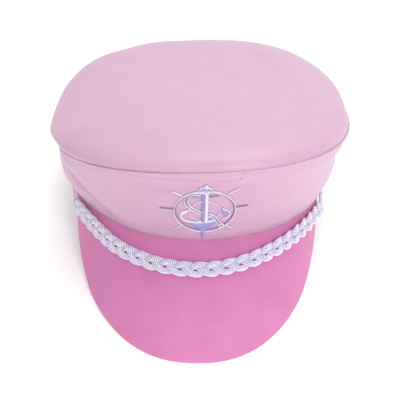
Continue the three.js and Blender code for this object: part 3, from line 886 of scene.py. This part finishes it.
class Route:
    """A smooth path through places that hold a point and the way up, measured by its length."""

    def __init__(self, places):
        self.places = places
        self.steps = (len(places) - 1) * ROUTE_STEPS
        points = [self.at_step(step)[0] for step in range(self.steps + 1)]
        self.lengths = [0.0]
        for before, after in zip(points, points[1:]):
            self.lengths.append(self.lengths[-1] + (after - before).length)
        self.length = self.lengths[-1]

    def at_step(self, step):
        last = len(self.places) - 1
        index = min(int(step / self.steps * last), last - 1)
        t = step / self.steps * last - index
        picks = [self.places[min(max(index + k, 0), last)] for k in (-1, 0, 1, 2)]
        made = []
        for part in (0, 1):
            a, b, c, d = [pick[part] for pick in picks]
            bend = (2 * a - 5 * b + 4 * c - d) * t * t + (3 * b - a - 3 * c + d) * t**3
            made.append((2 * b + (c - a) * t + bend) / 2)
        return made

    def at(self, distance):
        """The point there, the way up and the way aside."""
        index = min(max(bisect.bisect(self.lengths, distance) - 1, 0), self.steps - 1)
        span = self.lengths[index + 1] - self.lengths[index]
        step = index + (distance - self.lengths[index]) / span
        point, up = self.at_step(step)
        before = self.at_step(max(step - 0.5, 0))[0]
        after = self.at_step(min(step + 0.5, self.steps))[0]
        aside = (after - before).cross(up).normalized()
        return point, up.normalized(), aside


def tube(points, radii):
    """A closed tube through points, with its cloth map along it and round it."""
    count = len(points) - 1
    frames = []
    side = (points[1] - points[0]).orthogonal().normalized()
    travelled = 0.0
    for step in range(count + 1):
        along = (points[min(step + 1, count)] - points[max(step - 1, 0)]).normalized()
        side = (side - along * side.dot(along)).normalized()
        if step:
            travelled += (points[step] - points[step - 1]).length
        frames.append((points[step], side, along.cross(side), travelled))

    def place(column, row):
        point, across, over, _ = frames[column]
        turn = row / THREAD_SIDES * FULL_TURN
        return at_rest @ (point + (across * math.cos(turn) + over * math.sin(turn)) * radii[column])

    def flat(column, row):
        return (frames[column][3], row / THREAD_SIDES * FULL_TURN * radii[column])

    return grid_piece(count, THREAD_SIDES, place, flat)


def framed(middles):
    """For each (point, way up, size) of a line: how far along it lies, the way aside and the way over."""
    count = len(middles) - 1
    travelled = 0.0
    for step, (point, up, size) in enumerate(middles):
        if step:
            travelled += (point - middles[step - 1][0]).length
        along = middles[min(step + 1, count)][0] - middles[max(step - 1, 0)][0]
        aside = along.cross(up).normalized()
        over = aside.cross(along).normalized()
        yield point, size, travelled, aside, over


def wound(middles, width, thickness, turns, radius, rises=None):
    """One thread wound round a line. Rises say how far out it lies at each step."""
    points = []
    radii = []
    first, pitch = turns
    for step, (point, size, travelled, aside, over) in enumerate(framed(middles)):
        turn = (travelled / pitch + first) * FULL_TURN
        out = rises[step] if rises else 0
        reach = width / 2 - radius + out
        rise = thickness / 2 - radius + out
        points.append(point + (aside * reach * math.cos(turn) + over * rise * math.sin(turn)) * size)
        radii.append(radius * size)
    return tube(points, radii)


def braided_cord(middles, leans):
    """Threads wound both ways. The lean of each step says which way's threads lie on top."""
    parts = []
    for way in (1, -1):
        rises = [CARRIER_RISE * (way * lean - 1) for lean in leans]
        for number in range(CARRIERS):
            turns = (number / CARRIERS, way * CARRIER_PITCH)
            parts.append(wound(middles, STRAND_WIDTH, STRAND_THICKNESS, turns, CARRIER_RADIUS, rises))
    return joined(parts)


def cord_core(middles):
    """The core of a braided cord: a flat tube just inside its threads, which shows as painted shade in
    the gaps between them.
    """
    frames = [(point, size, aside, over) for point, size, _, aside, over in framed(middles)]
    half_width = STRAND_WIDTH / 2 - CARRIER_RADIUS
    half_thickness = STRAND_THICKNESS / 2 - CARRIER_RADIUS

    def place(column, row):
        point, size, aside, over = frames[column]
        turn = row / CORE_SIDES * FULL_TURN
        reach = aside * half_width * math.cos(turn) + over * half_thickness * math.sin(turn)
        return at_rest @ (point + reach * size)

    def flat(column, row):
        return (column * CARRIER_PITCH / CARRIER_STEPS, row * half_width / 2)

    return grid_piece(len(middles) - 1, CORE_SIDES, place, flat)


def thin_cord(middles, pitch):
    """A few plies twisted into one thin round cord."""
    plies = []
    for number in range(THIN_PLIES):
        turns = (number / THIN_PLIES, pitch)
        plies.append(wound(middles, THIN_CORD, THIN_CORD, turns, THIN_CORD * THIN_PLY_SHARE))
    return joined(plies)


def plait_middles(route, number):
    """The middle line of one of the plait's three cords, and how far it leans over at each step."""
    first = FIRST_CORD_LENGTH
    last = route.length - LAST_CORD_LENGTH
    repeats = round((last - first) / BRAID_REPEAT)
    steps = round((last - first) * STRAND_SLACK / CARRIER_PITCH * CARRIER_STEPS)
    middles = []
    leans = []
    for share in shares_in(steps):
        distance = mix(first, last, share)
        point, up, aside = route.at(distance)
        spread = smooth_step(min(distance - first, last - distance), 0, BRAID_TAPER)
        turn = (share * repeats + number / 3) * FULL_TURN
        swing = STRAND_SWING * (math.sin(turn) + STRAND_FLATNESS * math.sin(3 * turn))
        swing -= STRAND_LEAN * math.cos(2 * turn)
        swing *= mix(FIRST_END_SWING, 1, smooth_step(distance - first, 0, FIRST_END_REACH))
        from_end = smooth_step(last - distance, 0, LAST_END_REACH)
        swing *= mix(LAST_END_SWING, 1, from_end)
        weave = STRAND_WEAVE * mix(LAST_END_WEAVE, 1, from_end) * math.sin(2 * turn)
        point = point + (aside * swing + up * weave) * spread
        middles.append((point, up, mix(THIN_CORD / STRAND_THICKNESS, 1, spread)))
        leans.append(math.copysign(abs(math.sin(turn)) ** 0.5, math.sin(turn)))
    return middles, leans


def end_loop(side):
    """The loop of thin cord round one button's shank."""
    angle = side * BUTTON_ANGLE
    up = side_facing(angle, button_share)
    base = side_point(angle, button_share) + up * loop_lift
    across = up.orthogonal().normalized()
    over = up.cross(across)
    middles = []
    for share in shares_in(LOOP_STEPS):
        turn = share * FULL_TURN
        point = base + (across * math.cos(turn) + over * math.sin(turn)) * loop_radius
        middles.append((point, up, 1.0))
    return thin_cord(middles, FULL_TURN * loop_radius / LOOP_TWISTS)


def stretch(route, start, end, steps):
    """The route between two distances, as a line of points, ways up and sizes."""
    middles = []
    for share in shares_in(steps):
        point, up, _ = route.at(mix(start, end, share))
        middles.append((point, up, 1.0))
    return middles


def whipping(route, middle):
    """Thread wound round the end of the plait, where its cords meet the thin one."""
    half = WHIPPING_LENGTH / 2
    middles = stretch(route, middle - half, middle + half, WHIPPING_STEPS)
    return wound(middles, WHIPPING_WIDTH, WHIPPING_THICKNESS, (0, WHIPPING_PITCH), WHIPPING_PITCH / 2)


def braid():
    route = Route(braid_places(-1)[:0:-1] + braid_places(1))
    cores = []
    for number in range(3):
        middles, leans = plait_middles(route, number)
        strand = braided_cord(middles, leans)
        add_piece(f"braid_strand_{number + 1}", strand, braid_thread, "braid")
        cores.append(cord_core(middles))
    # The cores carry the painted shade between the cords' threads
    add_piece("braid_cores", joined(cores), painted_shade_core, "braid")

    thin = []
    for end, length in ((0, FIRST_CORD_LENGTH), (route.length, LAST_CORD_LENGTH)):
        tucked_in = abs(end - length - LOOP_CORD)
        middles = stretch(route, abs(end - loop_radius), tucked_in, THIN_STEPS)
        thin.append(thin_cord(middles, THIN_PITCH))
        thin.append(whipping(route, abs(end - length)))
    thin += [end_loop(-1), end_loop(1)]
    add_piece("braid_end_cords", joined(thin), braid_thread, "braid")


# The side buttons

BUTTON_PROFILE_STEPS = 10
BUTTON_ROUND_STEPS = 40
BUTTON_LIP = 0.0004


def button(side, name):
    angle = side * BUTTON_ANGLE
    up = side_facing(angle, button_share)
    turned = Vector((0, 0, 1)).rotation_difference(up).to_matrix().to_4x4()
    stands = at_rest @ Matrix.Translation(side_point(angle, button_share)) @ turned
    underside = 2 * FIT_GAP + LOOP_CORD
    shank = BUTTON_SHANK_DIAMETER / 2
    rim = BUTTON_DIAMETER / 2
    dome = rim - 3 * BUTTON_LIP
    profile = [
        (0, FIT_GAP), (shank, FIT_GAP), (shank, underside), (rim - BUTTON_LIP, underside),
        (rim, underside + BUTTON_LIP), (rim - BUTTON_LIP, underside + 2 * BUTTON_LIP),
        (dome, underside + BUTTON_LIP),
    ]
    for share in shares_in(BUTTON_PROFILE_STEPS):
        turn = share * math.pi / 2
        rise = BUTTON_LIP + (BUTTON_DOME - BUTTON_LIP) * math.sin(turn)
        profile.append((dome * math.cos(turn), underside + rise))
    bm = bmesh.new()
    verts = [bm.verts.new((reach, 0, height)) for reach, height in profile]
    edges = [bm.edges.new(pair) for pair in zip(verts, verts[1:])]
    bmesh.ops.spin(
        bm, geom=verts + edges, axis=(0, 0, 1), cent=(0, 0, 0), angle=FULL_TURN,
        steps=BUTTON_ROUND_STEPS, use_merge=True,
    )
    bmesh.ops.remove_doubles(bm, verts=bm.verts, dist=MERGE_DISTANCE)
    bmesh.ops.recalc_face_normals(bm, faces=bm.faces)
    bm.transform(stands)
    for face in bm.faces:
        face.smooth = True
    add_piece(name + "_dome", bm, button_metal, name)


# The embroidered emblem: points to the left and up, in wheel radii from the wheel's middle

THREAD_LIFT = 0.0003
AIM_STEPS = 8
STITCH_SECTION_STEPS = 8
emblem_slant = (side_point(0, 0) - side_point(0, 1)).length


def emblem_point(left, up, lift):
    share = EMBLEM_SHARE + up / emblem_slant
    aim = EMBLEM_TO_LEFT + left
    angle = 0.0
    for _ in range(AIM_STEPS):
        angle += (aim - side_point(angle, share).x) / (SEAM_LENGTH / 2)
    return side_point(angle, share) + side_facing(angle, share) * lift


# Thread, relief and steps of each part, and its route with the width at each point
EMBROIDERY = [
    # Base, left to right
    (lilac_and_shade_thread, 0.0009, 26, [
        (-0.68, -0.47, 0.03), (-0.55, -0.55, 0.1), (-0.43, -0.6, 0.16), (-0.2, -0.69, 0.31),
        (-0.05, -0.73, 0.4), (0.1, -0.685, 0.32), (0.21, -0.6, 0.2), (0.36, -0.47, 0.04)]),
    # Base, down to its tip
    (lilac_and_shade_thread, 0.0009, 18, [
        (-0.04, -0.66, 0.5), (-0.045, -0.85, 0.31), (-0.05, -1.0, 0.2), (-0.055, -1.15, 0.12),
        (-0.06, -1.36, 0.02)]),
    # Right palm
    (lilac_and_shade_thread, 0.0008, 16, [
        (0.55, 0.07, 0.04), (0.63, -0.05, 0.15), (0.69, -0.16, 0.16), (0.74, -0.29, 0.05)]),
    # Right palm's outline
    (white_thread, 0.0009, 26, [
        (0.55, 0.12, 0.03), (0.68, 0.05, 0.05), (0.78, -0.06, 0.05), (0.81, -0.18, 0.05),
        (0.76, -0.31, 0.05), (0.6, -0.38, 0.03)]),
    # Left palm
    (white_thread, 0.001, 16, [
        (-0.8, -0.18, 0.04), (-0.73, -0.09, 0.12), (-0.64, -0.02, 0.14), (-0.49, 0.1, 0.03)]),
    # Arms
    (white_thread, 0.0011, 36, [
        (-0.8, -0.12, 0.04), (-0.77, -0.28, 0.05), (-0.68, -0.41, 0.06), (-0.5, -0.49, 0.065),
        (-0.3, -0.525, 0.065), (-0.05, -0.52, 0.065), (0.165, -0.49, 0.06), (0.38, -0.43, 0.04)]),
    # Stock, left half
    (lilac_and_shade_thread, 0.0007, 12, [
        (-0.48, 0.7, 0.07), (-0.28, 0.7, 0.11), (-0.08, 0.69, 0.12)]),
    # Stock, right half, in the painted-shade thread
    (painted_shade_thread, 0.0005, 12, [
        (0.1, 0.7, 0.08), (0.28, 0.71, 0.07), (0.44, 0.72, 0.03)]),
    # Shaft's shaded side
    (lilac_and_shade_thread, 0.0012, 24, [
        (-0.052, 0.92, 0.09), (-0.054, 0.2, 0.085), (-0.056, -0.5, 0.09)]),
    # Shaft's bright side
    (white_thread, 0.0015, 30, [
        (0.048, 0.93, 0.125), (0.046, 0.2, 0.125), (0.044, -0.49, 0.13)]),
    # Collar
    (lilac_and_shade_thread, 0.0011, 18, [
        (-0.22, 1.07, 0.03), (-0.11, 1.08, 0.12), (0.01, 1.085, 0.2), (0.12, 1.08, 0.13),
        (0.22, 1.06, 0.03)]),
    # Collar's lower edge
    (white_thread, 0.0013, 18, [
        (-0.19, 1.01, 0.03), (-0.09, 0.945, 0.05), (0.01, 0.925, 0.055), (0.1, 0.945, 0.05),
        (0.2, 1.01, 0.03)]),
    # Collar's upper edge
    (white_thread, 0.0011, 18, [
        (-0.21, 1.1, 0.03), (-0.1, 1.165, 0.03), (0.02, 1.2, 0.03), (0.12, 1.165, 0.03),
        (0.21, 1.1, 0.03)]),
    # Ball
    (white_thread, 0.0013, 8, [
        (0.025, 1.17, 0.07), (0.025, 1.2, 0.12), (0.025, 1.25, 0.12), (0.025, 1.29, 0.07)]),
]

# The spokes: foot, tip and whether it's dark. Each is a line with a thinner line beside it, one white and
# one of painted shade; a dark spoke's own line is the painted shade.
SPOKE_FOOT_WIDTH = 0.045
SPOKE_TIP_WIDTH = 0.035
SPOKE_RELIEF = 0.0009
SPOKE_SPACE = 0.038
SPOKE_LINE = 0.03
SPOKE_LINE_RELIEF = 0.0007
SPOKE_STEPS = 12
SPOKES = [
    ((-1.01, 0.11), (-1.46, 0.12), True),
    ((1.01, 0.13), (1.4, 0.15), True),
    ((-0.74, 0.79), (-1.07, 1.0), False),
    ((0.74, 0.82), (1.1, 1.06), False),
    ((-0.73, -0.71), (-1.04, -0.98), False),
    ((0.7, -0.72), (0.94, -0.95), False),
]

# The rope is drawn as two white lines beside its middle line, with a shaded line between them
ROPE_SPACE = 0.05
ROPE_LINE = 0.036
ROPE_RELIEF = 0.001
ROPE_SHADE = 0.05
ROPE_SHADE_RELIEF = 0.0006
ROPE_STEPS = 44
ROPE_PARTS = [
    [(-0.12, 0.86), (-0.39, 0.87), (-0.55, 0.73), (-0.607, 0.47), (-0.494, 0.24), (-0.31, 0.06),
     (-0.11, -0.07)],
    [(0.1, -0.14), (0.26, -0.24), (0.39, -0.42), (0.485, -0.61), (0.54, -0.72)],
]

# Thread, relief, steps, middle, radius and width of the rings: the wheel's rim and its shaded edge,
# the inner ring, and the loop at the rope's end
RINGS = [
    (white_thread, 0.0009, 140, (0, 0), 1, 0.04),
    (painted_shade_thread, 0.0006, 140, (0, 0), 0.957, 0.03),
    (white_thread, 0.0005, 90, (0, 0), 0.49, 0.028),
    (white_thread, 0.0011, 24, (0.56, -0.73), 0.075, 0.036),
]


def smooth_route(points, steps):
    """Even steps along a smooth line through a few points of two or three numbers."""
    vectors = [Vector((*point, 0.0)[:3]) for point in points]
    route = Route([(vector, Vector((0, 0, 1))) for vector in vectors])
    return [route.at(share * route.length)[0] for share in shares_in(steps)]


def way_across(points, step):
    """The way across a line at one of its points."""
    way = points[min(step + 1, len(points) - 1)] - points[max(step - 1, 0)]
    return Vector((-way.y, way.x, 0)).normalized()


def stitched(points, relief):
    """A raised ribbon of stitches along points that hold left, up and width in wheel radii."""
    turns = [share * math.pi for share in shares_in(STITCH_SECTION_STEPS)]
    section = [(math.cos(turn), math.sin(turn)) for turn in turns]
    section += [(-0.5, 0.0), (0.0, 0.0), (0.5, 0.0), section[0]]
    lengths = [0.0]
    for before, after in zip(points, points[1:]):
        lengths.append(lengths[-1] + (after - before).length * WHEEL_RADIUS)

    def place(column, row):
        aside, rise = section[row]
        spot = points[column] + way_across(points, column) * aside * points[column].z / 2
        left = spot.x * WHEEL_RADIUS
        up = spot.y * WHEEL_RADIUS
        return at_rest @ emblem_point(left, up, THREAD_LIFT + relief * rise)

    def flat(column, row):
        return (lengths[column], section[row][0] * points[column].z / 2 * WHEEL_RADIUS)

    return grid_piece(len(points) - 1, len(section) - 1, place, flat)


def ring_points(steps, middle, radius, width):
    points = []
    for share in shares_in(steps):
        turn = share * FULL_TURN
        left = middle[0] + radius * math.sin(turn)
        up = middle[1] + radius * math.cos(turn)
        points.append(Vector((left, up, width)))
    return points


def beside_points(points, space, width):
    """Points beside a line, by a space to its left."""
    moved = [point + way_across(points, step) * space for step, point in enumerate(points)]
    return [Vector((point.x, point.y, width)) for point in moved]


def emblem():
    names = {white_thread: "white", lilac_and_shade_thread: "lilac", painted_shade_thread: "shade"}
    parts = {thread: [] for thread in names}
    for thread, relief, steps, route in EMBROIDERY:
        parts[thread].append(stitched(smooth_route(route, steps), relief))
    for thread, relief, steps, *ring in RINGS:
        parts[thread].append(stitched(ring_points(steps, *ring), relief))
    for foot, tip, dark in SPOKES:
        line = smooth_route([(*foot, SPOKE_FOOT_WIDTH), (*tip, SPOKE_TIP_WIDTH)], SPOKE_STEPS)
        beside = beside_points(line, -math.copysign(SPOKE_SPACE, tip[0]), SPOKE_LINE)
        threads = (painted_shade_thread, white_thread) if dark else (white_thread, painted_shade_thread)
        parts[threads[0]].append(stitched(line, SPOKE_RELIEF))
        parts[threads[1]].append(stitched(beside, SPOKE_LINE_RELIEF))
    for part in ROPE_PARTS:
        middle = smooth_route(part, ROPE_STEPS)
        for space in (-ROPE_SPACE, ROPE_SPACE):
            line = beside_points(middle, space, ROPE_LINE)
            parts[white_thread].append(stitched(line, ROPE_RELIEF))
        shade = beside_points(middle, 0, ROPE_SHADE)
        parts[painted_shade_thread].append(stitched(shade, ROPE_SHADE_RELIEF))
    for thread, name in names.items():
        piece = joined(parts[thread])
        add_piece(f"emblem_{name}_stitches", piece, thread, "anchor_emblem")


# The camera, the floor and the light

CAMERA_PLACE = Vector((-0.00637, -0.39243, 0.32799))
CAMERA_AIM = Vector((-0.00058, -0.06, 0.05787))
CAMERA_ROLL = math.radians(0.95)
CAMERA_LENS = 60.45
CAMERA_SENSOR = 36
FLOOR_SIZE = 4
LIGHT_AIM = Vector((0, 0, 0.05))
SKY_STRENGTH = 0.67


def set_up(name, data, place, aim):
    """An object that stands at a place and looks at its aim."""
    made = bpy.data.objects.new(name, data)
    made.location = place
    made.rotation_mode = "QUATERNION"
    made.rotation_quaternion = (aim - Vector(place)).to_track_quat("-Z", "Y")
    bpy.context.scene.collection.objects.link(made)
    return made


def camera():
    data = bpy.data.cameras.new("camera")
    data.lens = CAMERA_LENS
    data.sensor_width = CAMERA_SENSOR
    data.clip_start = 0.01
    made = set_up("camera", data, CAMERA_PLACE, CAMERA_AIM)
    made.rotation_quaternion @= Quaternion((0, 0, 1), CAMERA_ROLL)
    bpy.context.scene.camera = made


def floor():
    bm = bmesh.new()
    bmesh.ops.create_grid(bm, x_segments=1, y_segments=1, size=FLOOR_SIZE)
    paint = new_material(
        "floor paint", Roughness=0.9, Base_Color=(0.98, 0.98, 0.98, 1),
        Emission_Color=(1, 1, 1, 1), Emission_Strength=0.2,
    )
    add_mesh("floor", bm, paint[0])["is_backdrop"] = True


def soft_light(name, place, size, power):
    data = bpy.data.lights.new(name, "AREA")
    data.shape = "DISK"
    data.size = size
    data.energy = power
    set_up(name, data, place, LIGHT_AIM)


def lights():
    world = bpy.data.worlds.new("studio")
    bpy.context.scene.world = world
    world.use_nodes = True
    sky = world.node_tree.nodes["Background"]
    sky.inputs["Color"].default_value = (1, 1, 1, 1)
    sky.inputs["Strength"].default_value = SKY_STRENGTH
    soft_light("top light", (0.25, 0.5, 1.4), size=1.0, power=9)
    soft_light("front light", (0.42, -1.0, 0.75), size=0.6, power=5.2)
    soft_light("back light", (0.2, 1.3, 0.75), size=1.2, power=1.5)
    bpy.context.scene.view_settings.view_transform = "Standard"


camera()
floor()
lights()
crown_side()
crown_top()
visor()
braid()
button(1, "button_left")
button(-1, "button_right")
emblem()

visual_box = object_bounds()
boxes = {"cad": cad_box, "visual": visual_box}
{name: [list(corner) for corner in box] for name, box in boxes.items()}
